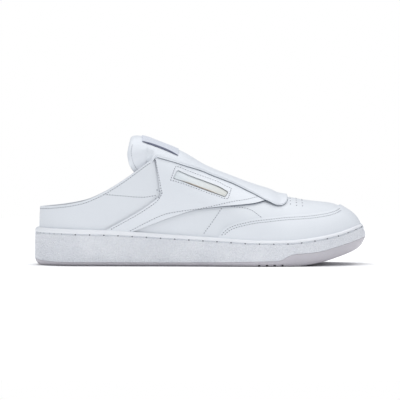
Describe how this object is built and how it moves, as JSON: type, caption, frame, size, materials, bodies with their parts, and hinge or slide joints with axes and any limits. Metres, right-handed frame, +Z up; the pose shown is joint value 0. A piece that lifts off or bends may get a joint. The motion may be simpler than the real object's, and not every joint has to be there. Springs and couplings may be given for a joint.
{
  "type": "sneaker mule",
  "caption": "White leather slip-on court sneaker mule with an open heel, a long padded tongue strip and a stitched rubber cupsole, right foot.",
  "frame": {"origin": "on the floor under the middle of the sole, at mount sole_rest", "axes": "+X towards the toe, +Y towards the inner side of the foot, +Z up"},
  "size_m": [0.298, 0.1094, 0.1167],
  "materials": {
    "outsole_rubber": "lilac grey, satin",
    "cupsole_rubber": "white, satin, fine moulded grain",
    "insole_textile": "white textile",
    "upper_leather": "cool white, smooth, satin",
    "tongue_leather": "cool white, soft, satin",
    "woven_label": "white weave with a navy border",
    "pearl_film": "pearly film"
  },
  "bodies": {
    "root": {"outsole": "outsole_rubber", "cupsole": "cupsole_rubber", "insole": "insole_textile", "upper": "upper_leather", "toe_overlay": "upper_leather", "side_overlay_outer": "upper_leather", "side_overlay_inner": "upper_leather", "tongue": "tongue_leather", "tongue_label": "woven_label", "window_insert": "pearl_film"}
  },
  "joints": []
}
